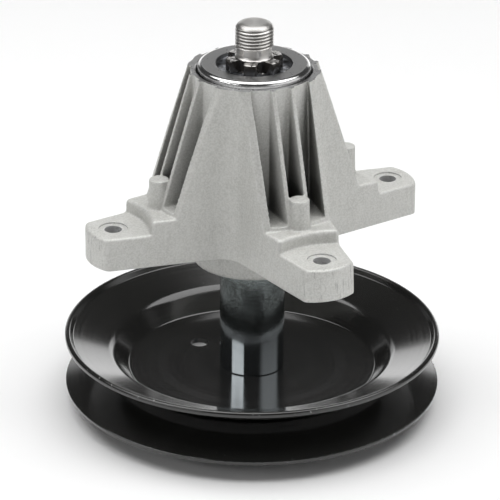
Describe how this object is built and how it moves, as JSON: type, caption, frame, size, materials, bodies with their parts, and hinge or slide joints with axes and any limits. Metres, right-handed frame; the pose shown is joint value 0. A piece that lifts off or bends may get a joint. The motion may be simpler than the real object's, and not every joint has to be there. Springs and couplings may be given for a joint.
{
  "type": "mower deck spindle",
  "caption": "Blade spindle of a ride-on mower deck: ribbed cast housing with bolting ears, shaft with blade stud and star drive, and a V-belt pulley.",
  "frame": {"origin": "on the shaft axis at the pulley nut's lower face, where the spindle stands", "axes": "+Z along the shaft towards the blade stud; the four ears lie between the X and Y axes"},
  "size_m": [0.16, 0.16, 0.1712],
  "materials": {
    "cast_aluminium": "matt die casting with machined top face",
    "bright_steel": "turned and threaded, bright",
    "turned_steel": "turned face with polished shoulder",
    "zinc_plate": "zinc plated, mottled towards one end",
    "plain_steel": "plain",
    "bearing_steel": "ground",
    "seal_rubber": "moulded",
    "black_enamel": "gloss black"
  },
  "bodies": {
    "housing": {"spindle_housing": "cast_aluminium", "upper_bearing_outer_ring": "bearing_steel", "upper_bearing_top_seal": "seal_rubber", "upper_bearing_bottom_seal": "seal_rubber", "lower_bearing_outer_ring": "bearing_steel", "lower_bearing_top_seal": "seal_rubber", "lower_bearing_bottom_seal": "seal_rubber"},
    "rotor": {"spindle_shaft": "bright_steel", "blade_seat_collar": "turned_steel", "upper_bearing_inner_ring": "bearing_steel", "lower_bearing_inner_ring": "bearing_steel", "bearing_spacer_sleeve": "plain_steel", "pulley_spacer_tube": "zinc_plate", "pulley_upper_flange": "black_enamel", "pulley_lower_flange": "black_enamel", "pulley_nut": "zinc_plate"},
    "upper_ball_set": {"upper_bearing_balls": "bearing_steel", "upper_bearing_cage": "plain_steel"},
    "lower_ball_set": {"lower_bearing_balls": "bearing_steel", "lower_bearing_cage": "plain_steel"}
  },
  "joints": [
    {"name": "shaft_spin", "type": "hinge", "parent": "housing", "child": "rotor", "pos_m": [0, 0, 0.1], "axis": [0, 0, 1], "continuous": true},
    {"name": "upper_cage_spin", "type": "hinge", "parent": "housing", "child": "upper_ball_set", "pos_m": [0, 0, 0.1396], "axis": [0, 0, 1], "continuous": true},
    {"name": "lower_cage_spin", "type": "hinge", "parent": "housing", "child": "lower_ball_set", "pos_m": [0, 0, 0.0738], "axis": [0, 0, 1], "continuous": true}
  ],
  "couplings": [
    {"joint": "upper_cage_spin", "follows": "shaft_spin", "ratio": 0.3816},
    {"joint": "lower_cage_spin", "follows": "shaft_spin", "ratio": 0.3816}
  ]
}
